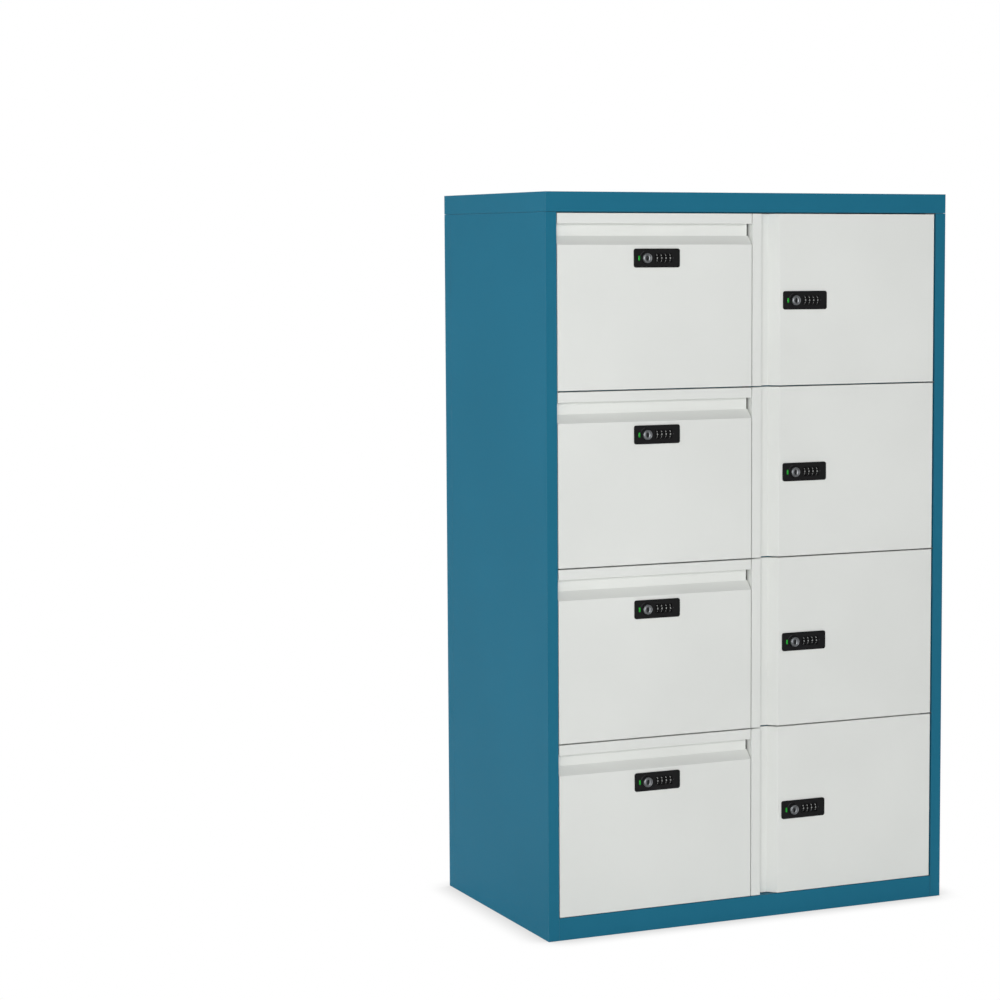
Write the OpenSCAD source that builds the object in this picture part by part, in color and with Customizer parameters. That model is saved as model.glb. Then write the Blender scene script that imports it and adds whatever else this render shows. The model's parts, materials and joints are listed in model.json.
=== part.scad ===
// Steel charging cabinet with a column of lockable drawers and a column of lockable doors.
// Millimetres, +Z up, front facing -Y. The origin is on the floor, under the middle of the cabinet.
// Rows are counted from the top: row 1 is the highest drawer or door.

/* [Cabinet] */
// Overall width, side to side
cabinet_w = 800; // [760:5:1000]
// Overall depth, front plane to back plane
cabinet_d = 475; // [450:5:600]
// Overall height, floor to top
cabinet_h = 1310; // [1280:5:1500]
// Height of the cap's skirt
cap_h = 34.5; // [28:0.5:45]
// Height of the rail under the lowest fronts
plinth_h = 40; // [32:1:60]
// Width of the left side's front flange
left_flange_w = 20; // [18:0.5:30]
// Width of the right side's front flange, which carries the door hinges
right_flange_w = 20.5; // [20:0.5:34]
// Sheet thickness of the outer case
case_t = 1.5; // [1.2:0.1:2]
// Sheet thickness of fronts, drawers and inner parts
sheet_t = 1.2; // [1:0.1:1.5]

/* [Fronts] */
// X of the joint line between the drawer column and the door column
split_x = -0.6; // [-20:0.2:20]
// Gap between a drawer front and its neighbouring door
column_gap = 1.8; // [1.5:0.1:3]
// Gap between one row and the next
row_gap = 2.5; // [2.4:0.1:4]
// Gap between the drawer fronts and the left flange
drawer_side_gap = 1.5; // [1:0.1:3]
// Gap between the doors and the right flange
hinge_side_gap = 3.8; // [1.9:0.1:5]
// Depth of the folded front panels
pan_d = 20; // [19:0.5:24]
// Width of the flat strip that forms the pull
strip_w = 18; // [15:0.5:25]
// Distance from the strip's edge to where the slope starts
floor_end = 39.2; // [36:0.1:46]
// Distance from the strip's edge to where the slope meets the face
slope_end = 54.5; // [50:0.5:62]
// Depth of the finger recess
recess_d = 15; // [12:0.5:16]

/* [Drawers] */
// Full travel of a drawer
drawer_travel = 380; // [300:5:385]
// Height of a drawer box's walls
box_h = 236; // [150:1:240]
// Length of each runner member
runner_len = 400; // [380:5:400]

/* [Locks] */
// Width of the lock's face plate
plate_w = 88.5; // [88:0.5:100]
// Height of the lock's face plate
plate_h = 33; // [31:1:40]
// How far the face plate stands proud of the front
plate_t = 2.5; // [2:0.1:3.5]
// Radius of the key knob
knob_r = 8.5; // [7.5:0.5:9.5]
// Radius of a number wheel
dial_r = 8.2; // [7.6:0.1:8.4]
// Distance between neighbouring number wheels
dial_pitch = 8.4; // [8:0.1:8.6]
// Length of a drawer lock's cam, centre to tip
drawer_cam_len = 76; // [72:1:80]
// Length of a door lock's cam, centre to tip
door_cam_len = 58; // [54:1:64]

/* [Hidden] */
$fn = 48;

rows = 4;
case_colour = [0.14, 0.43, 0.53];
front_colour = [0.87, 0.89, 0.87];
steel_colour = [0.72, 0.74, 0.75];
black_colour = [0.09, 0.09, 0.10];
green_colour = [0.15, 0.75, 0.25];
silver_colour = [0.62, 0.64, 0.66];

// A cutter runs this far past the faces it opens
over = 1;
// Clearance between pieces of one node that are separate solids
apart = 0.02;

// Case planes
left_x = -cabinet_w / 2;
right_x = cabinet_w / 2;
front_y = -cabinet_d / 2;
back_y = cabinet_d / 2;
cap_z = cabinet_h - cap_h;
left_open_x = left_x + left_flange_w;
right_open_x = right_x - right_flange_w;
flange_d = 25;
flange_hem = 9;
back_return = 28;
seam = 0.5;
lap = 10;
inner_y = front_y + flange_d + 0.5;
// Tongues on the side and back panels stand up inside the cap
tongue_down = 16;
tongue_h = cap_h + 8;
tongue_end = 4;
side_tongue_d = cabinet_d - 2 * (tongue_end + seam);
back_tongue_w = cabinet_w - 120;

// Rows
top_gap = 1;
rows_z0 = plinth_h;
rows_z1 = cap_z - top_gap;
row_pitch = (rows_z1 - rows_z0) / rows;
function row_bottom(n) = rows_z1 - n * row_pitch;
function row_top(n) = row_bottom(n - 1);
front_h = row_pitch - row_gap;
function front_bottom(n) = row_bottom(n) + row_gap / 2;
function front_top(n) = row_top(n) - row_gap / 2;

// Columns
drawer_x0 = left_open_x + drawer_side_gap;
drawer_x1 = split_x - column_gap / 2;
drawer_w = drawer_x1 - drawer_x0;
door_x0 = split_x + column_gap / 2;
door_x1 = right_open_x - hinge_side_gap;
door_w = door_x1 - door_x0;
partition_t = 20;
partition_x0 = split_x - partition_t / 2;
partition_x1 = split_x + partition_t / 2;
service_y = back_y - 47.7;

// Folded front panels
lip_t = 2 * sheet_t;
hook_s = 8;
hem_w = 14;
slope_t = 1.7;
pan_back_y = front_y + pan_d;
relief_w = 2.3;

// Door pivots
pivot_x = door_x1 - 11;
pivot_y = front_y + 5.5;
pin_r = 2.5;
running = 0.05;
pin_reach = 11;
bush_h = 12;
pivot_plate_t = 1.5;
pivot_plate_reach = 6;
plate_slot_h = 2.4;
pivot_plate_d = flange_d - 4.5;
pivot_tab_h = 24;

// Runners: 12.7 mm wide three-part slides
runner_side = 13;
runner_h = 45;
runner_z = 50;
runner_y0 = inner_y + 1;

// Drawer boxes
box_x0 = left_open_x + runner_side;
box_x1 = partition_x0 - runner_side;
box_y1 = pan_back_y + 395;
box_lift = 14;

// Locks
case_w = 84;
case_h = 27;
case_d = 19.5;
plate_corner = 4;
knob_dx = 23.6;
dial_dx = 44.1;
dials = 4;
dial_w = 6.2;
dial_proud = 1.2;
dial_y = front_y - plate_t - dial_proud + dial_r;
axle_r = 2;
barrel_r = 6;
lamp_dx = 9.4;
lamp_w = 3;
lamp_h = 8;
lamp_t = 2;
cam_y = front_y + 27.5;
cam_t = 2.5;
cam_w = 14;
cam_square = 7;
cam_eye_r = 9;
knob_proud = 4.6;
drawer_lock_x = (drawer_x0 + drawer_x1 - plate_w) / 2 + 0.8;
drawer_lock_drop = slope_end + 6.8 + plate_h / 2;
door_lock_x = door_x0 + slope_end + 7;
function drawer_lock_z(n) = front_top(n) - drawer_lock_drop;
function door_lock_z(n) = (front_top(n) + front_bottom(n)) / 2 - 1;

// Rails between the drawers
rail_y = pan_back_y + 3.5;
rail_down = 12;
rail_up = 8;
rail_depth = 28;

// Charging outfit
socket_x = (partition_x1 + right_x) / 2;
socket_lift = 190;
socket_face = [86, 5, 50];
socket_body = [60, 26, 34];
socket_margin = 1;
socket_screw_dx = 36;
screw_len = 12;
screw_head = [3.8, 2.2];
screw_r = 2;
screw_clear = 0.1;
usb_w = 13;
usb_h = 5.6;
usb_gap = 22;
usb_depth = 13;
supply_size = [170, 38, 90];
supply_x = 180;
supply_z = 60;
inlet_size = [48, 30];
inlet_dx = 40;
inlet_dz = 30;
inlet_margin = 1;
cable_gap = 33;

// ---------------------------------------------------------------- outer case

// Plan of a side panel with its folded front flange, on the left side
module side_plan(flange_w) {
    square([case_t, cabinet_d - back_return - seam]);
    square([flange_w, case_t]);
    translate([flange_w - case_t, 0])
        square([case_t, flange_d]);
    translate([flange_w - flange_hem, flange_d - case_t])
        square([flange_hem, case_t]);
    // Joggled tongue that laps behind the back panel's return
    translate([case_t, cabinet_d - back_return - seam - lap])
        square([case_t, back_return + lap - tongue_end]);
}

module side_shell(flange_w) {
    linear_extrude(cap_z - seam)
        side_plan(flange_w);
    translate([case_t, (cabinet_d - side_tongue_d) / 2, cap_z - tongue_down])
        cube([case_t, side_tongue_d, tongue_h]);
}

module left_side_panel() {
    color(case_colour)
        translate([left_x, front_y, 0])
            side_shell(left_flange_w);
}

module right_side_panel() {
    color(case_colour)
        difference() {
            translate([right_x, front_y, 0])
                mirror([1, 0, 0])
                    side_shell(right_flange_w);
            // Slots for the hinge plates
            for (n = [0 : rows])
                translate([right_open_x - over, front_y + case_t, row_bottom(n) - plate_slot_h / 2])
                    cube([case_t + 2 * over, flange_d - 2 * case_t, plate_slot_h]);
        }
}

wall_hole_r = 3.5;
wall_hole_dx = 320;
wall_hole_z = [180, 1180];
vent_w = 90;
vent_h = 5;
vent_pitch = 14;
vents = 6;

module back_panel() {
    color(case_colour)
        difference() {
            union() {
                translate([left_x, back_y - case_t, 0])
                    cube([cabinet_w, case_t, cap_z - seam]);
                for (x = [left_x, right_x - case_t])
                    translate([x, back_y - back_return, 0])
                        cube([case_t, back_return, cap_z - seam]);
                translate([-back_tongue_w / 2, back_y - 2 * case_t, cap_z - tongue_down])
                    cube([back_tongue_w, case_t, tongue_h]);
            }
            for (x = [-wall_hole_dx, wall_hole_dx], z = wall_hole_z)
                translate([x, back_y + over, z])
                    rotate([90, 0, 0])
                        cylinder(r = wall_hole_r, h = case_t + 2 * over);
            for (x = [-200, 200], z = [170, 1080], i = [0 : vents - 1])
                translate([x - vent_w / 2, back_y - case_t - over, z + i * vent_pitch])
                    cube([vent_w, case_t + 2 * over, vent_h]);
            translate([supply_x + inlet_dx - inlet_margin, back_y - case_t - over,
                       supply_z + inlet_dz - inlet_margin])
                cube([inlet_size[0] + 2 * inlet_margin, case_t + 2 * over,
                      inlet_size[1] + 2 * inlet_margin]);
        }
}

module top_cap() {
    color(case_colour) {
        difference() {
            translate([left_x, front_y, cap_z])
                cube([cabinet_w, cabinet_d, cap_h]);
            translate([left_x + case_t, front_y + case_t, cap_z - over])
                cube([cabinet_w - 2 * case_t, cabinet_d - 2 * case_t, cap_h - case_t + over]);
        }
        // Lip folded back under the front
        translate([left_open_x + 1, front_y, cap_z])
            cube([right_open_x - left_open_x - 2, pan_d, case_t]);
    }
}

// Base box: its front face is the rail between the two side flanges
module base_tray() {
    inset = 2 * case_t;
    rail_gap = [0.1, 0.6];
    rail_x = left_open_x + rail_gap[0];
    rail_w = right_open_x - rail_gap[1] - rail_x;
    color(case_colour)
        difference() {
            union() {
                translate([rail_x, front_y, 0])
                    cube([rail_w, flange_d + 2, plinth_h]);
                translate([left_x + inset, inner_y, 0])
                    cube([cabinet_w - 2 * inset, back_y - case_t - inner_y, plinth_h]);
            }
            translate([rail_x + case_t, front_y + case_t, case_t])
                cube([rail_w - 2 * case_t, flange_d + 2, plinth_h - 2 * case_t]);
            translate([left_x + inset + case_t, inner_y + case_t, case_t])
                cube([cabinet_w - 2 * inset - 2 * case_t, cabinet_d, plinth_h - 2 * case_t]);
            // Notch for the lowest hinge plate
            translate([pivot_x - pivot_plate_reach - over, front_y + case_t, plinth_h - case_t - over])
                cube([right_x - pivot_x, flange_d - 2 * case_t, case_t + 2 * over]);
        }
}

// ---------------------------------------------------------------- inner structure

module centre_partition() {
    part_d = service_y - inner_y;
    top_clear = 10;
    color(case_colour)
        translate([partition_x0, inner_y, plinth_h])
            linear_extrude(cabinet_h - top_clear - plinth_h)
                difference() {
                    square([partition_t, part_d]);
                    translate([sheet_t, sheet_t])
                        square([partition_t - 2 * sheet_t, part_d - 2 * sheet_t]);
                }
}

upright_d = 30;
slot_pitch = 38.5;
slot_size = [6, 14];
slot_end = 30;

// Slotted post of U-section, open towards the side panel
module upright(y) {
    post_w = left_flange_w - 2 * case_t;
    translate([left_open_x - post_w, y, plinth_h])
        difference() {
            cube([post_w, upright_d, cap_z - plinth_h]);
            translate([-over, sheet_t, -over])
                cube([post_w - sheet_t + over, upright_d - 2 * sheet_t, cap_z]);
            for (z = [slot_end : slot_pitch : cap_z - plinth_h - slot_end])
                translate([post_w - sheet_t - over, (upright_d - slot_size[0]) / 2, z])
                    cube([sheet_t + 2 * over, slot_size[0], slot_size[1]]);
        }
}

// Angle rail; the locked cam stands behind its lower edge
module cross_rail(z) {
    x0 = left_open_x + apart;
    w = partition_x0 - x0;
    translate([x0, rail_y, z - rail_down])
        cube([w, sheet_t, rail_down + rail_up]);
    translate([x0, rail_y, z + rail_up - sheet_t])
        cube([w, rail_depth, sheet_t]);
}

module drawer_frame() {
    color(case_colour) {
        upright(inner_y + 1);
        upright(runner_y0 + runner_len - upright_d - slot_end / 2);
        for (n = [0 : rows - 1])
            cross_rail(row_bottom(n));
    }
}

// Runner members are drawn for a wall on the left, in X from 0 at the wall
module runner_outer() {
    lip = 8.9;
    lip_return = 3.4;
    half = runner_h / 2;
    translate([0, 0, -half])
        cube([sheet_t, runner_len, runner_h]);
    for (z = [-half, half - sheet_t])
        translate([0, 0, z])
            cube([lip, runner_len, sheet_t]);
    for (z = [-half, half - lip_return])
        translate([lip - sheet_t, 0, z])
            cube([sheet_t, runner_len, lip_return]);
}

module runner_middle() {
    web_x = 2.4;
    half = 20.3;
    translate([web_x, 0, -half])
        cube([sheet_t, runner_len, 2 * half]);
    for (z = [-half, half - sheet_t])
        translate([web_x, 0, z])
            cube([2 * web_x, runner_len, sheet_t]);
}

module runner_inner() {
    lip_x = 5;
    half = 16;
    inner_len = runner_len - 5;
    translate([runner_side - sheet_t, 0, -half])
        cube([sheet_t, inner_len, 2 * half]);
    for (z = [-half, half - sheet_t])
        translate([lip_x, 0, z])
            cube([runner_side - lip_x, inner_len, sheet_t]);
}

// Places a runner member at both walls of the drawer bay
module both_walls(n) {
    translate([left_open_x, runner_y0, row_bottom(n) + runner_z])
        children();
    translate([partition_x0, runner_y0, row_bottom(n) + runner_z])
        mirror([1, 0, 0])
            children();
}

module outer_runners() {
    color(steel_colour)
        for (n = [1 : rows])
            both_walls(n)
                runner_outer();
}

// Shelf with edges folded down at the front and both sides
module shelf(z) {
    fold = 15;
    w = right_x - case_t - partition_x1;
    d = service_y - inner_y;
    translate([partition_x1, inner_y, z - fold]) {
        translate([0, 0, fold - sheet_t / 2])
            cube([w, d, sheet_t]);
        cube([w, sheet_t, fold]);
        cube([sheet_t, d, fold]);
        translate([w - sheet_t, 0, 0])
            cube([sheet_t, d, fold]);
    }
}

module compartment_shelves() {
    color(case_colour)
        for (n = [1 : rows - 1])
            shelf(row_bottom(n));
}

module socket_screw_holes(n, y0, h) {
    for (dx = [-socket_screw_dx, socket_screw_dx])
        translate([socket_x + dx, y0 + h, row_bottom(n) + socket_lift])
            rotate([90, 0, 0])
                cylinder(r = screw_r + screw_clear, h = h);
}

module service_panel() {
    color(case_colour)
        difference() {
            translate([partition_x0, service_y, plinth_h])
                cube([right_x - 2 * case_t - partition_x0, sheet_t, cap_z - plinth_h]);
            for (n = [1 : rows]) {
                translate([socket_x - socket_body[0] / 2 - socket_margin, service_y - over,
                           row_bottom(n) + socket_lift - socket_body[2] / 2 - socket_margin])
                    cube([socket_body[0] + 2 * socket_margin, sheet_t + 2 * over,
                          socket_body[2] + 2 * socket_margin]);
                socket_screw_holes(n, service_y - over, sheet_t + 2 * over);
            }
        }
}

// Plate in the gap between two doors, carrying their pivot pin
module hinge_plate(z, up, down) {
    plate_x0 = pivot_x - pivot_plate_reach;
    tab_x0 = right_open_x + 3;
    tab_x1 = right_x - 4;
    translate([plate_x0, front_y + case_t + 0.2, z - pivot_plate_t / 2])
        cube([tab_x1 - plate_x0, pivot_plate_d, pivot_plate_t]);
    // Tab welded to the back of the flange
    translate([tab_x0, front_y + case_t, z - pivot_tab_h / 2])
        cube([tab_x1 - tab_x0, case_t, pivot_tab_h]);
    translate([pivot_x, pivot_y, z - (down ? pin_reach : 0)])
        cylinder(r = pin_r, h = (down ? pin_reach : 0) + (up ? pin_reach : 0));
}

module hinge_plates() {
    color(steel_colour)
        for (n = [0 : rows])
            hinge_plate(row_bottom(n), n > 0, n < rows);
}

// Angle on the partition; the locked cam stands behind its front leg
module door_strikes() {
    front_leg = 31;
    wall_leg = 24;
    strike_h = 30;
    color(steel_colour)
        for (n = [1 : rows])
            translate([partition_x1, inner_y - 1.6, door_lock_z(n) - strike_h / 2]) {
                cube([front_leg, sheet_t, strike_h]);
                cube([sheet_t, wall_leg, strike_h]);
            }
}

// ---------------------------------------------------------------- charging outfit

module charging_sockets() {
    color(black_colour)
        for (n = [1 : rows])
            difference() {
                translate([socket_x, service_y, row_bottom(n) + socket_lift]) {
                    translate([-socket_face[0] / 2, -socket_face[1], -socket_face[2] / 2])
                        cube(socket_face);
                    translate([-socket_body[0] / 2, 0, -socket_body[2] / 2])
                        cube(socket_body);
                }
                for (s = [-1, 1])
                    translate([socket_x + s * usb_gap / 2 - usb_w / 2, service_y - socket_face[1] - over,
                               row_bottom(n) + socket_lift - usb_h / 2])
                        // Port with its contact tongue left standing
                        difference() {
                            cube([usb_w, usb_depth, usb_h]);
                            translate([over, usb_depth / 3, usb_h / 2])
                                cube([usb_w - 2 * over, usb_depth, usb_h / 3]);
                        }
                socket_screw_holes(n, service_y - socket_face[1] - over, socket_face[1] + 2 * over);
            }
}

module socket_screws() {
    color(silver_colour)
        for (n = [1 : rows], dx = [-socket_screw_dx, socket_screw_dx])
            translate([socket_x + dx, service_y - socket_face[1], row_bottom(n) + socket_lift])
                rotate([90, 0, 0]) {
                    difference() {
                        cylinder(r = screw_head[0], h = screw_head[1]);
                        for (a = [0, 90])
                            rotate([0, 0, a])
                                translate([0, 0, screw_head[1]])
                                    cube([4.8, 1, screw_head[1]], center = true);
                    }
                    translate([0, 0, -screw_len])
                        cylinder(r = screw_r, h = screw_len);
                }
}

module power_supply() {
    well = [32, 30, 20];
    well_d = 10;
    pin = [2, 14, 5];
    pin_pitch = 8;
    grille = [3, supply_size[1] + 2 * over, 20];
    grille_pitch = 6;
    grille_bars = 8;
    collar_d = back_y - case_t - service_y - sheet_t - supply_size[1];
    color(black_colour)
        translate([supply_x, service_y + sheet_t, supply_z])
            difference() {
                union() {
                    cube(supply_size);
                    translate([inlet_dx, supply_size[1], inlet_dz])
                        cube([inlet_size[0], collar_d, inlet_size[1]]);
                }
                // Mains inlet with three pins
                translate([inlet_dx + (inlet_size[0] - well[0]) / 2, supply_size[1] - well_d,
                           inlet_dz + (inlet_size[1] - well[2]) / 2])
                    difference() {
                        cube(well);
                        for (i = [1 : 3])
                            translate([i * pin_pitch - pin[0] / 2, 0, (well[2] - pin[2]) / 2])
                                cube(pin);
                    }
                for (i = [0 : grille_bars - 1])
                    translate([supply_size[0] - (i + 2) * grille_pitch, -over, supply_size[2] - 30])
                        cube(grille);
            }
}

module wiring_loom() {
    riser_y = service_y + sheet_t + cable_gap;
    riser_r = 3.5;
    branch_r = 2.2;
    z0 = supply_z + supply_size[2];
    z1 = row_bottom(1) + socket_lift;
    color(black_colour) {
        translate([socket_x, riser_y, z0])
            cylinder(r = riser_r, h = z1 - z0);
        for (n = [1 : rows])
            translate([socket_x, riser_y, row_bottom(n) + socket_lift])
                rotate([90, 0, 0])
                    cylinder(r = branch_r, h = riser_y - service_y - socket_body[1]);
        translate([socket_x, riser_y, z1])
            sphere(r = riser_r);
    }
}

// ---------------------------------------------------------------- fronts

// Cross-section of a folded front: x runs across from the pull's edge, y is depth
module grip_section(len) {
    square([sheet_t, pan_d]);
    square([strip_w, lip_t]);
    translate([0, pan_d - sheet_t])
        square([hem_w, sheet_t]);
    translate([hook_s - sheet_t, 0])
        square([sheet_t, recess_d + sheet_t]);
    translate([hook_s - sheet_t, recess_d])
        square([floor_end + slope_t - hook_s + sheet_t, sheet_t]);
    polygon([[floor_end, recess_d], [slope_end, 0], [slope_end + slope_t, 0],
             [floor_end + slope_t, recess_d]]);
    translate([slope_end, 0])
        square([len - slope_end, sheet_t]);
    translate([len - sheet_t, 0])
        square([sheet_t, pan_d]);
    translate([len - hem_w, pan_d - sheet_t])
        square([hem_w, sheet_t]);
}

// End plate of the same front, cut away where the finger recess runs out
module grip_end(len) {
    difference() {
        square([len, pan_d]);
        polygon([[strip_w, -over], [strip_w, lip_t], [hook_s, lip_t], [hook_s, recess_d],
                 [floor_end, recess_d], [slope_end, 0], [slope_end, -over]]);
    }
}

module grip_panel(across, along) {
    linear_extrude(along)
        grip_section(across);
    for (z = [0, along - sheet_t])
        translate([0, 0, z])
            linear_extrude(sheet_t)
                grip_end(across);
}

// Opening for a lock's body, from its plate's left edge and centre height
module lock_opening(x, z) {
    margin = (plate_w - case_w) / 2 - 0.3;
    translate([x + margin, front_y - over, z - case_h / 2 - 0.3])
        cube([plate_w - 2 * margin, sheet_t + 2 * over, case_h + 0.6]);
}

module drawer_front(n) {
    color(front_colour)
        difference() {
            translate([drawer_x0, front_y, front_top(n)])
                rotate([0, 90, 0])
                    grip_panel(front_h, drawer_w);
            // The recess floor stops short of both ends of the front
            for (x = [drawer_x0 - over, drawer_x1 - relief_w])
                translate([x, front_y + recess_d - over, front_top(n) - floor_end])
                    cube([relief_w + over, pan_d, floor_end - strip_w]);
            lock_opening(drawer_lock_x, drawer_lock_z(n));
        }
}

module door_panel(n) {
    bush = [12, 10.5];
    color(front_colour)
        difference() {
            union() {
                translate([door_x0, front_y, front_bottom(n)])
                    grip_panel(door_w, front_h);
                for (z = [front_bottom(n), front_top(n) - bush_h])
                    translate([pivot_x - bush[0] / 2, front_y, z])
                        cube([bush[0], bush[1], bush_h]);
            }
            lock_opening(door_lock_x, door_lock_z(n));
            for (z = [front_bottom(n) - over, front_top(n) - bush_h - over])
                translate([pivot_x, pivot_y, z])
                    cylinder(r = pin_r + running, h = bush_h + 2 * over);
        }
}

// ---------------------------------------------------------------- drawers

module drawer_box(n) {
    w = box_x1 - box_x0;
    d = box_y1 - pan_back_y;
    hem = 6;
    back_step = 40;
    barrel_clear = 2;
    color(steel_colour)
        difference() {
            translate([box_x0, pan_back_y, row_bottom(n) + box_lift])
                difference() {
                    cube([w, d, box_h]);
                    translate([sheet_t, sheet_t, sheet_t])
                        cube([w - 2 * sheet_t, d - 2 * sheet_t, box_h]);
                    // The back wall is lower than the sides
                    translate([hem, d - sheet_t - over, box_h - back_step])
                        cube([w - 2 * hem, sheet_t + 2 * over, back_step + over]);
                }
            translate([drawer_lock_x + knob_dx, pan_back_y + sheet_t + over, drawer_lock_z(n)])
                rotate([90, 0, 0])
                    cylinder(r = barrel_r + barrel_clear, h = sheet_t + 2 * over);
        }
}

module inner_runners(n) {
    color(steel_colour)
        both_walls(n)
            runner_inner();
}

module middle_runners(n) {
    color(silver_colour)
        both_walls(n)
            runner_middle();
}

// ---------------------------------------------------------------- locks
// A lock is drawn from its plate's left edge x and its centre height z

module plate_outline() {
    w = plate_w;
    h = plate_h;
    c = plate_corner;
    translate([c, -h / 2])
        square([w - 2 * c, h]);
    translate([0, -h / 2 + c])
        square([w, h - 2 * c]);
    for (px = [c, w - c], pz = [-h / 2 + c, h / 2 - c])
        translate([px, pz])
            circle(r = c);
}

module dial_window(x, z) {
    window_w = 6.8;
    window_h = 15;
    translate([x - window_w / 2, front_y - plate_t - over, z - window_h / 2])
        cube([window_w, plate_t + 2 * over, window_h]);
}

module lock_case(x, z) {
    cavity_x = dial_dx - dial_pitch / 2 - 0.6;
    cavity_w = dials * dial_pitch + 1.2;
    cavity_r = dial_r + 0.8;
    plate_skin = 1;
    skin_y = front_y - plate_t + plate_skin;
    color(black_colour) {
        difference() {
            union() {
                translate([x, front_y, z])
                    rotate([90, 0, 0])
                        linear_extrude(plate_t)
                            plate_outline();
                translate([x + (plate_w - case_w) / 2, front_y, z - case_h / 2])
                    cube([case_w, case_d, case_h]);
            }
            for (i = [0 : dials - 1])
                dial_window(x + dial_dx + i * dial_pitch, z);
            translate([x + cavity_x, skin_y, z - cavity_r])
                cube([cavity_w, dial_y + cavity_r - skin_y, 2 * cavity_r]);
            translate([x + knob_dx, front_y + case_d + over, z])
                rotate([90, 0, 0])
                    cylinder(r = barrel_r + running, h = case_d + plate_t + 2 * over);
            translate([x + lamp_dx - lamp_w / 2, front_y - plate_t - over, z - lamp_h / 2])
                cube([lamp_w, lamp_t + over, lamp_h]);
        }
        // Axle of the number wheels
        translate([x + cavity_x - 1, dial_y, z])
            rotate([0, 90, 0])
                cylinder(r = axle_r, h = cavity_w + 2);
    }
    // Green window of the open or locked mark
    color(green_colour)
        translate([x + lamp_dx - lamp_w / 2 + apart, front_y - plate_t, z - lamp_h / 2 + apart])
            cube([lamp_w - 2 * apart, lamp_t - apart, lamp_h - 2 * apart]);
}

// Key knob and barrel, with the cam and its nut on the back end; the cam points along angle
module lock_core(x, z, cam_len, cam_angle) {
    knob_back = front_y - plate_t - 0.2;
    stub_r = 2.9;
    nut_r = 6;
    nut_t = 3;
    stub_y = cam_y + cam_t + nut_t + 1.5;
    key_slot = [1.8, 4, 8];
    color(silver_colour)
        translate([x + knob_dx, 0, z]) {
            difference() {
                union() {
                    translate([0, knob_back, 0])
                        rotate([90, 0, 0])
                            cylinder(r = knob_r, h = knob_proud);
                    translate([0, cam_y, 0])
                        rotate([90, 0, 0])
                            cylinder(r = barrel_r, h = cam_y - knob_back + over);
                }
                translate([-key_slot[0] / 2, knob_back - knob_proud - over, -key_slot[2] / 2])
                    cube([key_slot[0], key_slot[1] + over, key_slot[2]]);
            }
            translate([-cam_square / 2, cam_y, -cam_square / 2])
                cube([cam_square, cam_t + apart, cam_square]);
            translate([0, stub_y, 0])
                rotate([90, 0, 0])
                    cylinder(r = stub_r, h = stub_y - cam_y - cam_t);
        }
    color(steel_colour)
        translate([x + knob_dx, cam_y + cam_t + apart, z])
            rotate([0, cam_angle, 0])
                rotate([90, 0, 0])
                    linear_extrude(cam_t)
                        difference() {
                            union() {
                                circle(r = cam_eye_r);
                                translate([-cam_len, -cam_w / 2])
                                    square([cam_len, cam_w]);
                            }
                            square(cam_square + 2 * apart, center = true);
                        }
    color(steel_colour)
        translate([x + knob_dx, cam_y + cam_t + nut_t + 2 * apart, z])
            rotate([90, 0, 0])
                linear_extrude(nut_t)
                    difference() {
                        circle(r = nut_r, $fn = 6);
                        circle(r = stub_r + apart);
                    }
}

module number_wheel() {
    digits = 10;
    groove = 0.7;
    rotate([0, 90, 0])
        translate([0, 0, -dial_w / 2])
            linear_extrude(dial_w)
                difference() {
                    circle(r = dial_r);
                    circle(r = axle_r + running);
                    for (i = [0 : digits - 1])
                        rotate(360 / digits * i)
                            translate([dial_r - groove, -groove / 2])
                                square([2 * groove, groove]);
                }
}

module number_wheels(x, z) {
    color(black_colour)
        for (i = [0 : dials - 1])
            translate([x + dial_dx + i * dial_pitch, dial_y, z])
                number_wheel();
}

module drawer_lock_case(n) {
    lock_case(drawer_lock_x, drawer_lock_z(n));
}

module drawer_lock_core(n) {
    lock_core(drawer_lock_x, drawer_lock_z(n), drawer_cam_len, 0);
}

module drawer_dials(n) {
    number_wheels(drawer_lock_x, drawer_lock_z(n));
}

module door_lock_case(n) {
    lock_case(door_lock_x, door_lock_z(n));
}

module door_lock_core(n) {
    lock_core(door_lock_x, door_lock_z(n), door_cam_len, -90);
}

module door_dials(n) {
    number_wheels(door_lock_x, door_lock_z(n));
}

left_side_panel();
right_side_panel();
back_panel();
top_cap();
base_tray();
centre_partition();
drawer_frame();
outer_runners();
compartment_shelves();
service_panel();
hinge_plates();
door_strikes();
charging_sockets();
power_supply();
wiring_loom();
socket_screws();
drawer_front(1);  // drawer_front_1
drawer_front(2);  // drawer_front_2
drawer_front(3);  // drawer_front_3
drawer_front(4);  // drawer_front_4
drawer_box(1);  // drawer_box_1
drawer_box(2);  // drawer_box_2
drawer_box(3);  // drawer_box_3
drawer_box(4);  // drawer_box_4
inner_runners(1);  // inner_runners_1
inner_runners(2);  // inner_runners_2
inner_runners(3);  // inner_runners_3
inner_runners(4);  // inner_runners_4
middle_runners(1);  // middle_runners_1
middle_runners(2);  // middle_runners_2
middle_runners(3);  // middle_runners_3
middle_runners(4);  // middle_runners_4
drawer_lock_case(1);  // drawer_lock_case_1
drawer_lock_case(2);  // drawer_lock_case_2
drawer_lock_case(3);  // drawer_lock_case_3
drawer_lock_case(4);  // drawer_lock_case_4
drawer_lock_core(1);  // drawer_lock_core_1
drawer_lock_core(2);  // drawer_lock_core_2
drawer_lock_core(3);  // drawer_lock_core_3
drawer_lock_core(4);  // drawer_lock_core_4
drawer_dials(1);  // drawer_dials_1
drawer_dials(2);  // drawer_dials_2
drawer_dials(3);  // drawer_dials_3
drawer_dials(4);  // drawer_dials_4
door_panel(1);  // door_panel_1
door_panel(2);  // door_panel_2
door_panel(3);  // door_panel_3
door_panel(4);  // door_panel_4
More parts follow.
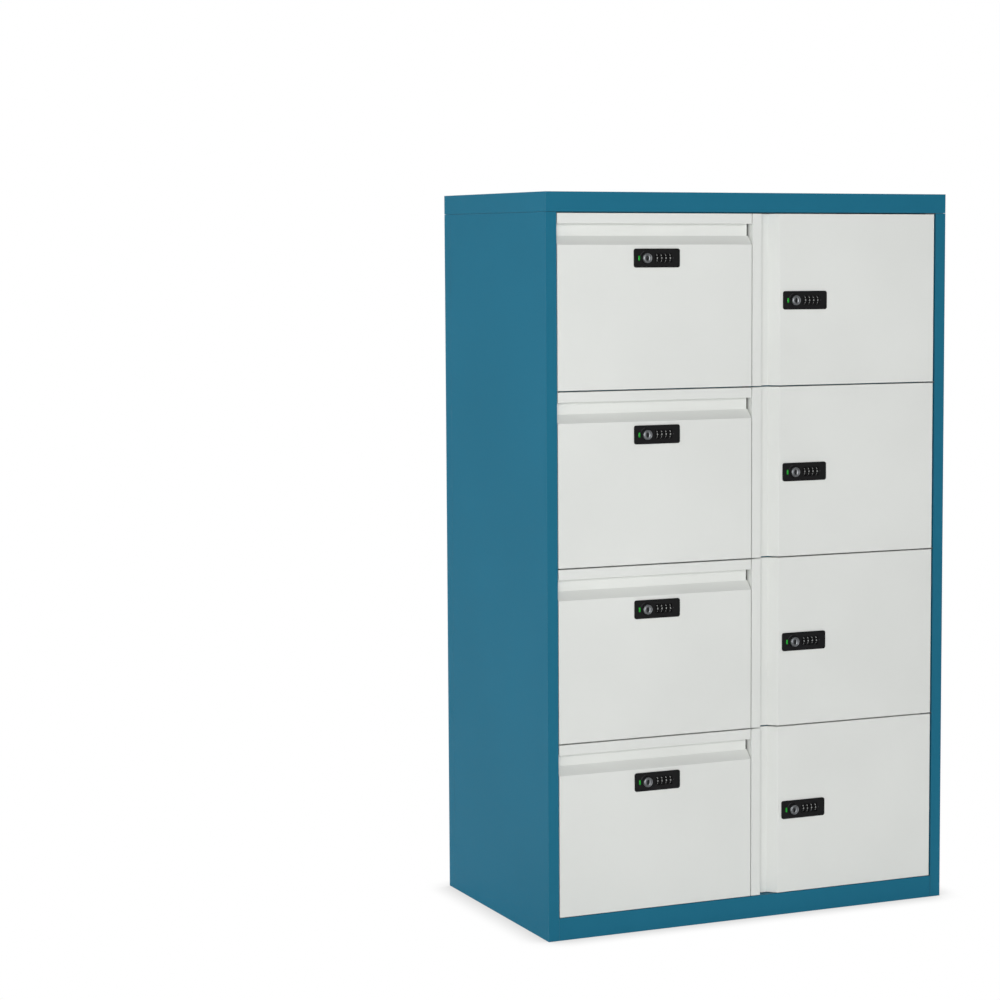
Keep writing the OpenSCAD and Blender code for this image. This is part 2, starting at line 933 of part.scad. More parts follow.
door_lock_case(1);  // door_lock_case_1
door_lock_case(2);  // door_lock_case_2
door_lock_case(3);  // door_lock_case_3
door_lock_case(4);  // door_lock_case_4
door_lock_core(1);  // door_lock_core_1
door_lock_core(2);  // door_lock_core_2
door_lock_core(3);  // door_lock_core_3
door_lock_core(4);  // door_lock_core_4
door_dials(1);  // door_dials_1
door_dials(2);  // door_dials_2
door_dials(3);  // door_dials_3
door_dials(4);  // door_dials_4
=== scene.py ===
"""Looks of a steel charging cabinet: a column of lockable drawers beside a column of lockable doors.

Everything is in metres in the CAD frame: +Z up, fronts facing -Y, origin on the floor under the middle.
"""
import json
import math

import bmesh
import bpy
from mathutils import Matrix, Vector


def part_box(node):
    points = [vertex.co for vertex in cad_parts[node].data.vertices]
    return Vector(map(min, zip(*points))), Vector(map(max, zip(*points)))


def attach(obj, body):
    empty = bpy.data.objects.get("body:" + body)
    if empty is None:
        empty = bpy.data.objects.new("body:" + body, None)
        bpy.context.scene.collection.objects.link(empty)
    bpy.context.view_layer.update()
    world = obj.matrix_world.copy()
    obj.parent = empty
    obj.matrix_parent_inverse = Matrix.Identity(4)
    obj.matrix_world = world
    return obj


MM = 0.001
ROWS = range(1, 5)

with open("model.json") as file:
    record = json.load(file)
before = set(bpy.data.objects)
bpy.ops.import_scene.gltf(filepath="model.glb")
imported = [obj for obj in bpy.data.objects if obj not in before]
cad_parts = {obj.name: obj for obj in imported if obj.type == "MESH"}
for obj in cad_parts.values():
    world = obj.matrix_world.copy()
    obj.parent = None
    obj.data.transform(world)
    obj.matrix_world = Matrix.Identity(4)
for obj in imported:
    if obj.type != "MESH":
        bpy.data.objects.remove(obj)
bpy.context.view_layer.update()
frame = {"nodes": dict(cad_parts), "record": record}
nodes = frame["nodes"]

# ---------------------------------------------------------------- colours, sRGB
TEAL = (0.120, 0.433, 0.541)
OFF_WHITE = (0.907, 0.915, 0.901)
DRAWER_GREY = (0.760, 0.770, 0.765)
ZINC = (0.520, 0.535, 0.545)
RUNNER_STEEL = (0.560, 0.580, 0.600)
LOCK_BLACK = (0.105, 0.105, 0.108)
WHEEL_BLACK = (0.060, 0.060, 0.064)
NICKEL = (0.520, 0.530, 0.540)
LENS_GREEN = (0.060, 0.560, 0.130)
DIGIT_WHITE = (0.800, 0.810, 0.800)
MARK_GREY = (0.230, 0.235, 0.240)
PLASTIC_BLACK = (0.110, 0.112, 0.118)
CABLE_BLACK = (0.070, 0.070, 0.072)
RUBBER_BLACK = (0.050, 0.050, 0.052)
SCREW_STEEL = (0.600, 0.610, 0.620)
FLOOR = (0.965, 0.965, 0.965)
FLOOR_WORN = (0.955, 0.955, 0.955)


def linear(rgb):
    """sRGB triple to the linear RGBA that shader sockets take."""
    return tuple(c / 12.92 if c <= 0.04045 else ((c + 0.055) / 1.055) ** 2.4 for c in rgb) + (1.0,)


# ---------------------------------------------------------------- shader building
class Shader:
    """A material under construction: makes nodes, links them and holds the shared coordinates."""

    def __init__(self, name):
        self.material = bpy.data.materials.new(name)
        self.material.use_nodes = True
        self.tree = self.material.node_tree
        self.bsdf = self.tree.nodes["Principled BSDF"]
        self.coords = self.node("ShaderNodeTexCoord").outputs["Object"]

    def node(self, kind, **settings):
        made = self.tree.nodes.new(kind)
        for key, value in settings.items():
            setattr(made, key, value)
        return made

    def link(self, source, target):
        self.tree.links.new(source, target)
        return target

    def value(self, socket, source):
        """Sets a socket from a number, a colour or another node's output."""
        if isinstance(source, bpy.types.NodeSocket):
            self.link(source, socket)
        else:
            socket.default_value = source

    def noise(self, scale, detail=3.0, roughness=0.55, stretch=None):
        """Noise in object space; scale is in features per metre."""
        tex = self.node("ShaderNodeTexNoise")
        tex.inputs["Scale"].default_value = scale
        tex.inputs["Detail"].default_value = detail
        tex.inputs["Roughness"].default_value = roughness
        source = self.coords
        if stretch:
            mapping = self.node("ShaderNodeMapping")
            mapping.inputs["Scale"].default_value = stretch
            self.link(source, mapping.inputs["Vector"])
            source = mapping.outputs["Vector"]
        self.link(source, tex.inputs["Vector"])
        return tex.outputs["Fac"]

    def remap(self, source, low, high, to_low, to_high):
        made = self.node("ShaderNodeMapRange")
        self.link(source, made.inputs["Value"])
        for socket, number in zip(("From Min", "From Max", "To Min", "To Max"),
                                  (low, high, to_low, to_high)):
            made.inputs[socket].default_value = number
        return made.outputs["Result"]

    def mix(self, factor, a, b, blend="MIX"):
        made = self.node("ShaderNodeMix", data_type="RGBA", blend_type=blend)
        self.value(made.inputs["Factor"], factor)
        self.value(made.inputs["A"], a)
        self.value(made.inputs["B"], b)
        return made.outputs["Result"]

    def math(self, operation, a, b=0.0):
        made = self.node("ShaderNodeMath", operation=operation)
        self.value(made.inputs[0], a)
        self.value(made.inputs[1], b)
        return made.outputs[0]

    def rounded_normal(self, radius):
        made = self.node("ShaderNodeBevel", samples=4)
        made.inputs["Radius"].default_value = radius
        return made.outputs["Normal"]

    def edge_mask(self, rounded):
        """1 on sharp edges, 0 on flats: how far the rounded normal leans from the true one."""
        dot = self.node("ShaderNodeVectorMath", operation="DOT_PRODUCT")
        self.link(rounded, dot.inputs[0])
        self.link(self.node("ShaderNodeNewGeometry").outputs["Normal"], dot.inputs[1])
        return self.remap(dot.outputs["Value"], 0.995, 0.80, 0.0, 1.0)

    def bump(self, height, strength, distance, normal=None):
        made = self.node("ShaderNodeBump")
        made.inputs["Strength"].default_value = strength
        made.inputs["Distance"].default_value = distance
        self.link(height, made.inputs["Height"])
        if normal is not None:
            self.link(normal, made.inputs["Normal"])
        return made.outputs["Normal"]

    def finish(self, **inputs):
        for key, source in inputs.items():
            self.value(self.bsdf.inputs[key.replace("_", " ")], source)
        return self.material


def powder_coat(name, rgb, rough=0.44, edge_wear_and_highlight=0.10, peel=0.10, sheen=0.5):
    """Sprayed and baked paint: orange peel, faint cloudiness and slightly paler folded edges, partly
    rubbed wear and partly a painted highlight.
    """
    s = Shader(name)
    colour = linear(rgb)
    cloudy = s.noise(3.0, 2.0)
    fine = s.noise(900.0, 2.0)
    tone = s.mix(s.remap(cloudy, 0.35, 0.65, 0.0, 1.0),
                 tuple(c * 0.975 for c in colour[:3]) + (1.0,),
                 tuple(min(c * 1.025, 1.0) for c in colour[:3]) + (1.0,))
    rounded = s.rounded_normal(0.8 * MM)
    edges = s.edge_mask(rounded)
    # Paler edges: partly rubbed wear, partly a painted highlight along the folds
    pale_wear_and_highlight = tuple(c + (1.0 - c) * edge_wear_and_highlight for c in colour[:3]) + (1.0,)
    tone = s.mix(edges, tone, pale_wear_and_highlight)
    normal = s.bump(s.noise(650.0, 3.0), peel, 0.15 * MM, rounded)
    return s.finish(Base_Color=tone, Roughness=s.remap(fine, 0.3, 0.7, rough - 0.04, rough + 0.05),
                    Specular_IOR_Level=sheen, Normal=normal)


def plated_steel(name, rgb, rough=0.36, along=(40.0, 1.0, 40.0)):
    """Zinc-plated sheet: fine rolling lines, patches of bluish and yellowish plating."""
    s = Shader(name)
    lines = s.noise(120.0, 4.0, 0.7, along)
    patches = s.noise(25.0, 3.0)
    cool = linear(tuple(c * k for c, k in zip(rgb, (0.96, 0.99, 1.03))))
    warm = linear(tuple(c * k for c, k in zip(rgb, (1.03, 1.01, 0.95))))
    tone = s.mix(s.remap(patches, 0.35, 0.65, 0.0, 1.0), cool, warm)
    rounded = s.rounded_normal(0.5 * MM)
    return s.finish(Base_Color=tone, Metallic=0.9,
                    Roughness=s.remap(lines, 0.3, 0.7, rough - 0.07, rough + 0.10),
                    Normal=s.bump(lines, 0.12, 0.08 * MM, rounded))


def moulded_plastic(name, rgb, rough=0.42, grain=1400.0, depth=0.06, sheen=0.5, rim=1.2):
    """Moulded plastic: spark-eroded grain, smoother edges whose tone is rim times the base; rim above 1
    paints a highlight on the edges, rim below 1 paints shade on them.
    """
    s = Shader(name)
    grain_noise = s.noise(grain, 3.0)
    rounded = s.rounded_normal(0.5 * MM)
    edges = s.edge_mask(rounded)
    base = linear(rgb)
    # Edge tone is rim times the base: a painted highlight where rim is above 1, painted shade where it is
    # below 1
    dull, painted_rim = (tuple(c * k for c in base[:3]) + (1.0,) for k in (0.94, rim))
    tone = s.mix(edges, s.mix(s.remap(grain_noise, 0.35, 0.65, 0.0, 1.0), dull, base), painted_rim)
    rough_value = s.math("SUBTRACT", s.remap(grain_noise, 0.3, 0.7, rough - 0.03, rough + 0.08),
                         s.math("MULTIPLY", edges, 0.12))
    return s.finish(Base_Color=tone, Roughness=rough_value, Specular_IOR_Level=sheen,
                    Normal=s.bump(grain_noise, depth, 0.1 * MM, rounded))


def turned_nickel(name, rgb):
    """Satin nickel with fine turning marks and a few handling scratches."""
    s = Shader(name)
    marks = s.noise(2500.0, 2.0)
    scratches = s.noise(300.0, 5.0, 0.75, (1.0, 1.0, 6.0))
    rounded = s.rounded_normal(0.4 * MM)
    tone = s.mix(s.remap(scratches, 0.4, 0.7, 0.0, 0.5), linear(rgb),
                 linear(tuple(c * 0.86 for c in rgb)))
    return s.finish(Base_Color=tone, Metallic=0.85,
                    Roughness=s.remap(marks, 0.3, 0.7, 0.36, 0.48),
                    Normal=s.bump(scratches, 0.08, 0.05 * MM, rounded))


def printed_ink(name, rgb):
    """Pad-printed ink: dense, a little patchy."""
    s = Shader(name)
    patchy = s.noise(1800.0, 3.0)
    tone = s.mix(s.remap(patchy, 0.3, 0.7, 0.0, 1.0), linear(tuple(c * 0.93 for c in rgb)), linear(rgb))
    return s.finish(Base_Color=tone, Roughness=s.remap(patchy, 0.3, 0.7, 0.45, 0.60))


def lit_lens(name, rgb):
    """Green window: deep colour with fine flutes and a soft, slightly uneven painted glow; no lamp lights
    it.
    """
    s = Shader(name)
    flutes = s.noise(900.0, 2.0, 0.5, (1.0, 1.0, 3.0))
    # Painted glow: the window shines by emission although there is no lamp behind it
    glow = s.remap(flutes, 0.3, 0.7, 0.22, 0.34)
    return s.finish(Base_Color=linear(rgb), Roughness=0.22, Emission_Color=linear(rgb),
                    Emission_Strength=glow, Normal=s.bump(flutes, 0.05, 0.05 * MM))


def cable_sheath(name, rgb):
    """Matt PVC sheath with faint drawing lines along its length."""
    s = Shader(name)
    drawn = s.noise(500.0, 3.0, 0.6, (1.0, 1.0, 0.05))
    return s.finish(Base_Color=s.mix(drawn, linear(rgb), linear(tuple(c * 1.25 for c in rgb))),
                    Roughness=s.remap(drawn, 0.3, 0.7, 0.5, 0.65),
                    Normal=s.bump(drawn, 0.1, 0.1 * MM))


case_paint = powder_coat("case_paint", TEAL, rough=0.50, edge_wear_and_highlight=0.06, sheen=0.12)
front_paint = powder_coat("front_paint", OFF_WHITE, rough=0.50, edge_wear_and_highlight=0.25, sheen=0.2)
drawer_paint = powder_coat("drawer_paint", DRAWER_GREY, rough=0.48, edge_wear_and_highlight=0.15)
zinc = plated_steel("zinc_sheet", ZINC)
runner_zinc = plated_steel("runner_zinc", RUNNER_STEEL, rough=0.30)
# rim=0.4 paints shade on the rims of the lock plates
lock_plastic = moulded_plastic("lock_plastic", LOCK_BLACK, rough=0.45, sheen=0.12, rim=0.4)
wheel_plastic = moulded_plastic("wheel_plastic", WHEEL_BLACK, rough=0.34, grain=2200.0, depth=0.03,
                                sheen=0.12)
socket_plastic = moulded_plastic("socket_plastic", PLASTIC_BLACK, rough=0.38)
supply_plastic = moulded_plastic("supply_plastic", PLASTIC_BLACK, rough=0.50, grain=900.0, depth=0.12)
nickel = turned_nickel("lock_nickel", NICKEL)
screw_metal = turned_nickel("screw_zinc", SCREW_STEEL)
cable_black = cable_sheath("cable_sheath", CABLE_BLACK)
rubber = moulded_plastic("buffer_rubber", RUBBER_BLACK, rough=0.75, grain=800.0, depth=0.15, sheen=0.1)
digit_ink = printed_ink("digit_ink", DIGIT_WHITE)
mark_ink = printed_ink("mark_ink", MARK_GREY)
green_lens = lit_lens("green_lens", LENS_GREEN)

SLOT_MATERIALS = {
    "case_paint": case_paint, "front_paint": front_paint, "drawer_steel": drawer_paint,
    "zinc_steel": zinc, "runner_steel": runner_zinc, "lock_plastic": lock_plastic,
    "dial_plastic": wheel_plastic, "lock_metal": nickel, "socket_plastic": socket_plastic,
    "supply_plastic": supply_plastic, "cable_rubber": cable_black, "screw_steel": screw_metal,
}


# ---------------------------------------------------------------- CAD nodes
def dress_cad_nodes():
    """Each CAD node takes the material of its record slot; folded sheet gets true rounded folds."""
    fold_radius = {"case_paint": 0.6 * MM, "front_paint": 0.5 * MM, "lock_plastic": 0.35 * MM,
                   "lock_metal": 0.3 * MM, "socket_plastic": 0.5 * MM, "supply_plastic": 0.8 * MM}
    for entry in frame["record"]["subparts"]:
        obj = nodes[entry["node"]]
        slot = entry["material_slot"]
        obj.data.materials.clear()
        obj.data.materials.append(SLOT_MATERIALS[slot])
        if slot in fold_radius:
            bevel = obj.modifiers.new("folds", "BEVEL")
            bevel.width = fold_radius[slot]
            bevel.segments = 2
            bevel.limit_method = "ANGLE"
            bevel.angle_limit = math.radians(40)
            bevel.harden_normals = True


dress_cad_nodes()


# ---------------------------------------------------------------- mesh helpers
def add_piece(name, mesh, material, body, smooth=True):
    """Adds a render-only piece that rides a CAD body and wears the given material."""
    mesh.materials.append(material)
    if smooth:
        mesh.shade_smooth()
    obj = bpy.data.objects.new(name, mesh)
    bpy.context.scene.collection.objects.link(obj)
    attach(obj, body)
    return obj


def mesh_from(name, verts, faces):
    mesh = bpy.data.meshes.new(name)
    mesh.from_pydata(verts, [], faces)
    mesh.validate()
    return mesh


def loop(centre, half_x, half_z, y, power_x=1.0, power_z=1.0, steps=56):
    """A closed outline round a Y axis: a circle or ellipse, squared off where a power is below 1."""
    points = []
    for i in range(steps):
        angle = 2 * math.pi * i / steps
        c, s = math.cos(angle), math.sin(angle)
        points.append((centre[0] + half_x * math.copysign(abs(c) ** power_x, c), y,
                       centre[1] + half_z * math.copysign(abs(s) ** power_z, s)))
    return points


def loft(name, loops, ring=False):
    """Skins a stack of loops; a ring joins the last loop to the first, otherwise both ends are capped."""
    steps = len(loops[0])
    verts = [p for points in loops for p in points]
    faces = []
    for k in range(len(loops) if ring else len(loops) - 1):
        a, b = k * steps, (k + 1) % len(loops) * steps
        for i in range(steps):
            j = (i + 1) % steps
            faces.append((a + i, a + j, b + j, b + i))
    if not ring:
        faces.append(tuple(range(steps))[::-1])
        faces.append(tuple((len(loops) - 1) * steps + i for i in range(steps)))
    mesh = mesh_from(name, verts, faces)
    build = bmesh.new()
    build.from_mesh(mesh)
    bmesh.ops.recalc_face_normals(build, faces=build.faces)
    build.to_mesh(mesh)
    build.free()
    return mesh


# ---------------------------------------------------------------- locks
# Places are measured from the left edge of a lock's plate; radii and half sizes are in millimetres
PLATE_T = 2.5 * MM
KNOB_DX = 23.6 * MM
KNOB_R = 8.5
KNOB_FACE = 7.3 * MM
KEY_HALF = (1.7, 3.7)
INDICATOR_DX = 9.4 * MM
INDICATOR_HALF = (1.65, 4.15)
DIAL_DX = 44.1 * MM
DIAL_PITCH = 8.4 * MM
DIALS = 4
FIGURES = 10
FIGURE_H = 3.3 * MM
FIGURE_BANDS = 12
FIGURE_WEIGHT = 0.012
READING = (0, 0, 0, 0)
INK_PROUD = 0.04 * MM
MARK_PROUD = 0.03 * MM
ARC_RADII = (12.2 * MM, 12.9 * MM)
ARC_START = 108
ARC_SWEEP = 52
ARC_STEPS = 18
POINTER_DX = 5.2 * MM
POINTER = ((0.0, 0.0), (2.0, 1.1), (2.0, -1.1))


def lock_place(case_node):
    """Left edge x, front face y and centre z of a lock's plate."""
    low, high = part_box(case_node)
    return low[0], low[1], (low[2] + high[2]) / 2


def knob_place(place):
    """Axis (x, z) and front face y of the key knob on the lock at this place."""
    x, y, z = place
    return (x + KNOB_DX, z), y + PLATE_T - KNOB_FACE


def figure_outlines():
    """Flat meshes of the figures 0 to 9, FIGURE_H tall and centred, from the built-in font."""
    shapes = []
    for figure in range(FIGURES):
        curve = bpy.data.curves.new("figure", "FONT")
        curve.body = str(figure)
        curve.align_x = "CENTER"
        curve.size = 1.0
        curve.offset = FIGURE_WEIGHT
        curve.resolution_u = 3
        temp = bpy.data.objects.new("figure", curve)
        bpy.context.scene.collection.objects.link(temp)
        bpy.context.view_layer.update()
        flat = bmesh.new()
        flat.from_mesh(temp.evaluated_get(bpy.context.evaluated_depsgraph_get()).to_mesh())
        low, high = (limit(v.co.y for v in flat.verts) for limit in (min, max))
        left, right = (limit(v.co.x for v in flat.verts) for limit in (min, max))
        # Cut across so that the figure can bend round its wheel
        for k in range(1, FIGURE_BANDS):
            geometry = flat.verts[:] + flat.edges[:] + flat.faces[:]
            bmesh.ops.bisect_plane(flat, geom=geometry, plane_no=(0, 1, 0),
                                   plane_co=(0, low + (high - low) * k / FIGURE_BANDS, 0))
        flat.verts.index_update()
        scale = FIGURE_H / (high - low)
        points = [((v.co.x - (left + right) / 2) * scale, (v.co.y - (low + high) / 2) * scale)
                  for v in flat.verts]
        shapes.append((points, [tuple(v.index for v in f.verts) for f in flat.faces]))
        flat.free()
        bpy.data.objects.remove(temp)
        bpy.data.curves.remove(curve)
    return shapes


def wheel_figures(name, wheel_node, left, body, shapes):
    """Figures wrapped round the four wheels of one lock, with READING in the reading row."""
    low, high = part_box(wheel_node)
    axis_y, axis_z = (low[1] + high[1]) / 2, (low[2] + high[2]) / 2
    skin = (high[1] - low[1]) / 2 + INK_PROUD
    verts, faces = [], []
    for wheel in range(DIALS):
        x0 = left + DIAL_DX + wheel * DIAL_PITCH
        for step in range(FIGURES):
            # Turning a wheel up brings the next figure, which waits below the reading row
            points, polys = shapes[(READING[wheel] - step) % FIGURES]
            turn = 2 * math.pi * step / FIGURES
            base = len(verts)
            for x, y in points:
                angle = turn + y / skin
                verts.append((x0 + x, axis_y - skin * math.cos(angle), axis_z + skin * math.sin(angle)))
            faces += [tuple(base + i for i in poly) for poly in polys]
    return add_piece(name, mesh_from(name, verts, faces), digit_ink, body, smooth=False)


def key_face(name, place, body):
    """Cap pressed over the key knob: rounded rim, a fine groove and an oval opening."""
    axis, face = knob_place(place)
    half_x, half_z = (h * MM for h in KEY_HALF)
    rings = [(KNOB_R + 0.02, 0.0), (KNOB_R + 0.02, 3.6), (KNOB_R + 0.15, 3.6), (KNOB_R + 0.15, -0.50),
             (KNOB_R - 0.10, -0.75), (KNOB_R - 0.40, -0.80), (KNOB_R - 1.10, -0.80),
             (KNOB_R - 1.20, -0.62), (KNOB_R - 1.40, -0.62), (KNOB_R - 1.50, -0.80)]
    loops = [loop(axis, half_x, half_z, face, 0.85, 0.7)]
    loops += [loop(axis, r * MM, r * MM, face + dy * MM) for r, dy in rings]
    loops.append(loop(axis, 4.9 * MM, 6.0 * MM, face - 0.8 * MM))
    loops.append(loop(axis, 4.6 * MM, 5.8 * MM, face - 0.76 * MM))
    loops.append(loop(axis, half_x, half_z, face - 0.12 * MM, 0.85, 0.7))
    return add_piece(name, loft(name, loops, ring=True), nickel, body)


def key_guide(name, place, body):
    """Black guide in the opening of the knob's cap, with the slot the key goes through."""
    axis, face = knob_place(place)
    half_x, half_z = KEY_HALF
    # How far the guide stands inside the opening, across and along it, and its height there
    section = [(0.02, 0.02, 0.0), (0.02, 0.02, -0.20), (0.2, 0.2, -0.32), (0.7, 0.4, -0.18),
               (0.85, 0.5, -0.08), (0.85, 0.5, 0.0)]
    loops = [loop(axis, (half_x - a) * MM, (half_z - b) * MM, face + dy * MM, 0.8, 0.6)
             for a, b, dy in section]
    return add_piece(name, loft(name, loops, ring=True), wheel_plastic, body)


def key_collar(name, place, body):
    """Black collar moulded on the plate round the key knob."""
    axis = knob_place(place)[0]
    plate = place[1]
    section = [(0.7, 0.3), (0.7, -0.7), (0.95, -1.0), (1.65, -1.0), (2.0, -0.5), (2.15, 0.3)]
    loops = [loop(axis, (KNOB_R + r) * MM, (KNOB_R + r) * MM, plate + dy * MM) for r, dy in section]
    return add_piece(name, loft(name, loops, ring=True), lock_plastic, body)


def lamp_lens(name, place, body):
    """Domed window with rounded corners over the lock's mark."""
    x, y, z = place
    sizes = ((1.0, 0.1), (1.0, -0.15), (0.93, -0.38), (0.72, -0.5), (0.35, -0.55))
    loops = [loop((x + INDICATOR_DX, z), INDICATOR_HALF[0] * k * MM, INDICATOR_HALF[1] * k * MM, y + dy * MM, 0.45, 0.3)
             for k, dy in sizes]
    return add_piece(name, loft(name, loops), green_lens, body)


def lock_marks(name, place, body):
    """Printed arc that shows which way the key turns, and a pointer beside the reading row."""
    x, y, z = place
    skin = y - MARK_PROUD
    verts, faces = [], []
    for i in range(ARC_STEPS + 1):
        angle = math.radians(ARC_START + ARC_SWEEP * i / ARC_STEPS)
        for radius in ARC_RADII:
            verts.append((x + KNOB_DX + radius * math.cos(angle), skin, z + radius * math.sin(angle)))
    for i in range(ARC_STEPS):
        faces.append((2 * i, 2 * i + 1, 2 * i + 3, 2 * i + 2))
    tip = x + DIAL_DX + (DIALS - 1) * DIAL_PITCH + POINTER_DX
    base = len(verts)
    for dx, dz in POINTER:
        verts.append((tip + dx * MM, skin, z + dz * MM))
    faces.append((base, base + 1, base + 2))
    return add_piece(name, mesh_from(name, verts, faces), mark_ink, body, smooth=False)


def dress_locks():
    """Puts the figures, key parts, lens and marks on every lock; the knob's parts turn with the key."""
    shapes = figure_outlines()
    for kind in ("drawer", "door"):
        for n in ROWS:
            body = f"{kind}_{n}"
            place = lock_place(f"{kind}_lock_case_{n}")
            wheel_figures(f"{body}_figures", f"{kind}_dials_{n}", place[0], f"{body}_dials", shapes)
            key_face(f"{body}_key_face", place, f"{body}_key")
            key_guide(f"{body}_key_guide", place, f"{body}_key")
            key_collar(f"{body}_key_collar", place, body)
            lamp_lens(f"{body}_lens", place, body)
            lock_marks(f"{body}_marks", place, body)


dress_locks()


# ---------------------------------------------------------------- case
STRIP_PARTS = 16


def buffer_strip():
    """Rubber profile on the edge of the partition that both columns close against."""
    low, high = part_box("centre_partition")
    middle = (low[0] + high[0]) / 2
    bottom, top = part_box("door_panel_4")[0][2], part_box("door_panel_1")[1][2]
    section = ((-6.5, 0.0), (-6.5, -1.0), (-5.6, -1.8), (-3.8, -2.2), (-2.6, -3.6), (-0.8, -4.3),
               (0.8, -4.3), (2.6, -3.6), (3.8, -2.2), (5.6, -1.8), (6.5, -1.0), (6.5, 0.0))
    levels = [bottom + (top - bottom) * k / STRIP_PARTS for k in range(STRIP_PARTS + 1)]
    loops = [[(middle + x * MM, low[1] + y * MM, z) for x, y in section] for z in levels]
    add_piece("buffer_strip", loft("buffer_strip", loops), rubber, "cabinet")


buffer_strip()


# ---------------------------------------------------------------- stage, light and camera
FLOOR_HALF = 6.0
FLOOR_DROP = 0.2 * MM
CONTACT_SHADOW_GREY = 0.72
CONTACT_REACH = 60 * MM


def build_stage():
    """White paper floor with a painted contact shadow: it turns grey only where the cabinet meets it.

    The camera sees an even glow and every other ray sees the paper, so the floor still reflects light.
    """
    half = FLOOR_HALF
    mesh = mesh_from("floor", [(-half, -half, 0), (half, -half, 0), (half, half, 0), (-half, half, 0)],
                     [(0, 1, 2, 3)])
    s = Shader("floor_paper")
    # Painted contact shadow: ambient occlusion greys the floor's glow close to the cabinet
    contact_shadow = s.node("ShaderNodeAmbientOcclusion", samples=16)
    contact_shadow.inputs["Distance"].default_value = CONTACT_REACH
    shade = s.remap(contact_shadow.outputs["AO"], 0.5, 0.95, CONTACT_SHADOW_GREY, 1.0)
    s.finish(Base_Color=s.mix(s.noise(2.0, 2.0), linear(FLOOR), linear(FLOOR_WORN)), Roughness=0.9,
             Specular_IOR_Level=0.0)
    glow = s.node("ShaderNodeEmission")
    s.link(shade, glow.inputs["Strength"])
    pick = s.node("ShaderNodeMixShader")
    s.link(s.node("ShaderNodeLightPath").outputs["Is Camera Ray"], pick.inputs["Fac"])
    s.link(s.bsdf.outputs["BSDF"], pick.inputs[1])
    s.link(glow.outputs["Emission"], pick.inputs[2])
    s.link(pick.outputs["Shader"], s.tree.nodes["Material Output"].inputs["Surface"])
    mesh.materials.append(s.material)
    floor = bpy.data.objects.new("floor", mesh)
    floor.location.z = -FLOOR_DROP
    bpy.context.scene.collection.objects.link(floor)


SURROUND_STRENGTH = 0.233
SURROUND_LOW = (1.0, 1.0, 1.0, 1)
SURROUND_HIGH = (0.42, 0.43, 0.44, 1)


def build_world():
    """Even studio surround: brighter in front and at the sides than overhead, white to the camera."""
    world = bpy.data.worlds.new("studio")
    bpy.context.scene.world = world
    world.use_nodes = True
    tree = world.node_tree
    tree.nodes.clear()
    new, link = tree.nodes.new, tree.links.new
    coords = new("ShaderNodeTexCoord")
    split = new("ShaderNodeSeparateXYZ")
    link(coords.outputs["Generated"], split.inputs[0])
    ramp = new("ShaderNodeValToRGB")
    low, high = ramp.color_ramp.elements
    low.position, low.color = 0.0, SURROUND_LOW
    high.position, high.color = 0.9, SURROUND_HIGH
    link(split.outputs["Z"], ramp.inputs["Fac"])
    lit = new("ShaderNodeBackground")
    lit.inputs["Strength"].default_value = SURROUND_STRENGTH
    link(ramp.outputs["Color"], lit.inputs["Color"])
    seen = new("ShaderNodeBackground")
    seen.inputs["Color"].default_value = (1, 1, 1, 1)
    seen.inputs["Strength"].default_value = 1.0
    path = new("ShaderNodeLightPath")
    mix = new("ShaderNodeMixShader")
    link(path.outputs["Is Camera Ray"], mix.inputs["Fac"])
    link(lit.outputs[0], mix.inputs[1])
    link(seen.outputs[0], mix.inputs[2])
    link(mix.outputs[0], new("ShaderNodeOutputWorld").inputs["Surface"])


def add_area(name, place, target, size, power):
    """Rectangular lamp aimed at a target; power is in watts."""
    light = bpy.data.lights.new(name, "AREA")
    light.shape = "RECTANGLE"
    light.size, light.size_y = size
    light.energy = power
    obj = bpy.data.objects.new(name, light)
    obj.location = place
    obj.rotation_euler = (Vector(target) - Vector(place)).to_track_quat("-Z", "Y").to_euler()
    bpy.context.scene.collection.objects.link(obj)


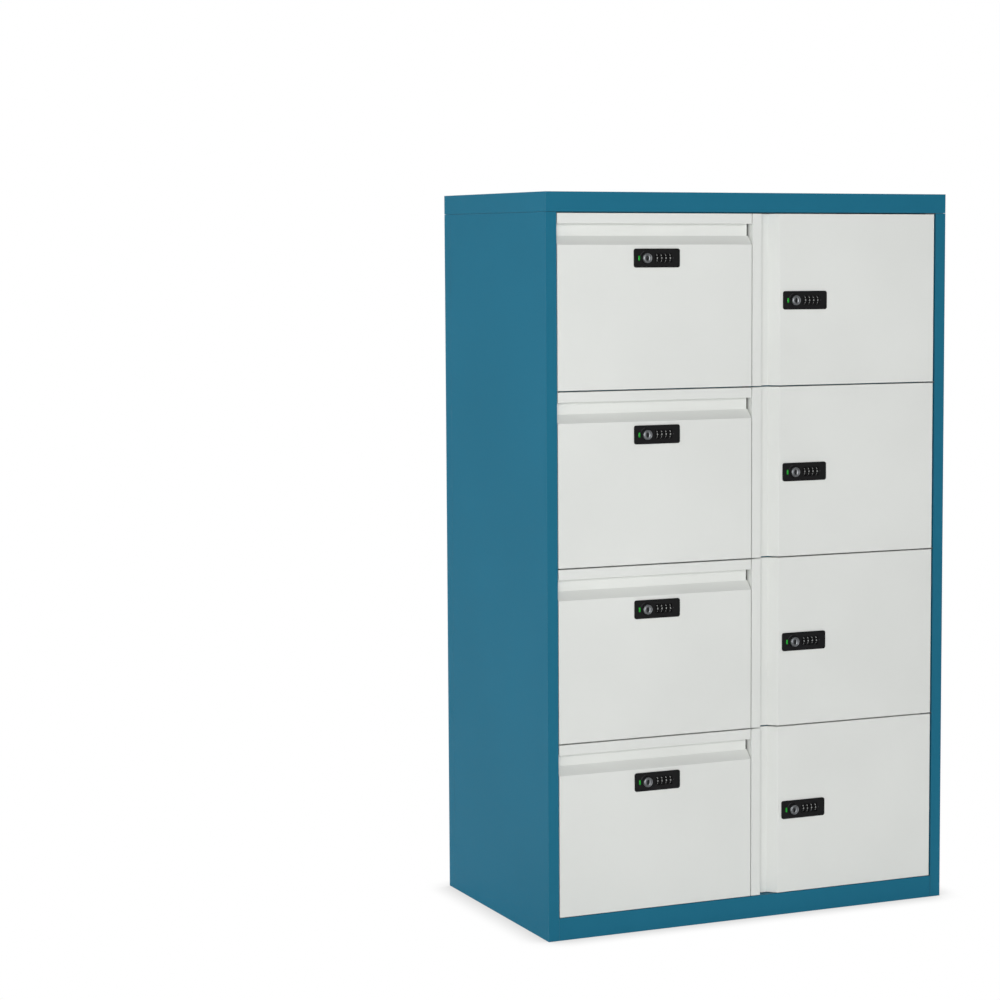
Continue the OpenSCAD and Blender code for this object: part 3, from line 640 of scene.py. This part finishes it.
def build_lights():
    """Wide soft panels: one beside the camera, one for each side, one for the back and one for the top.

    The side, back and top panels are centred behind the plane of the fronts, so they hardly touch them.
    """
    middle = (0, 0, 0.65)
    roof = (0, 0.4, 1.3)
    add_area("front_panel", (-2.6, -6.43, 1.62), target=middle, size=(4.0, 3.0), power=286)
    add_area("left_panel", (-5.43, 0.76, 1.03), target=middle, size=(3.0, 3.0), power=139)
    add_area("right_panel", (5.43, 1.3, 1.03), target=middle, size=(3.0, 3.0), power=57)
    add_area("back_panel", (1.2, 6.2, 1.4), target=middle, size=(4.0, 3.0), power=102)
    add_area("top_panel", (0.3, 1.5, 4.6), target=roof, size=(3.0, 2.4), power=54)


# The camera stands to the left, about 5 m away, at about the height of a standing person's chest
CAMERA_PLACE = (-2.2692, -4.5494, 1.2162)
CAMERA_TURN = math.radians(-25.3986)
CAMERA_DIP = math.radians(5.3149)
CAMERA_ROLL = math.radians(-0.0838)
CAMERA_LENS = 98.247
CAMERA_SHIFT = -0.14
SENSOR_WIDTH = 36


def build_camera():
    """Camera placed by its position, heading, dip and roll."""
    data = bpy.data.cameras.new("camera")
    data.sensor_width = SENSOR_WIDTH
    data.lens = CAMERA_LENS
    data.shift_x = CAMERA_SHIFT
    forward = Vector((-math.sin(CAMERA_TURN) * math.cos(CAMERA_DIP),
                      math.cos(CAMERA_TURN) * math.cos(CAMERA_DIP), -math.sin(CAMERA_DIP)))
    right = forward.cross(Vector((0, 0, 1))).normalized()
    up = right.cross(forward)
    c, s = math.cos(CAMERA_ROLL), math.sin(CAMERA_ROLL)
    right, up = c * right + s * up, c * up - s * right
    obj = bpy.data.objects.new("camera", data)
    obj.matrix_world = Matrix.Translation(CAMERA_PLACE) @ Matrix((
        (right.x, up.x, -forward.x, 0), (right.y, up.y, -forward.y, 0),
        (right.z, up.z, -forward.z, 0), (0, 0, 0, 1)))
    bpy.context.scene.collection.objects.link(obj)
    bpy.context.scene.camera = obj


build_stage()
build_world()
build_lights()
build_camera()
bpy.context.scene.view_settings.view_transform = "Standard"
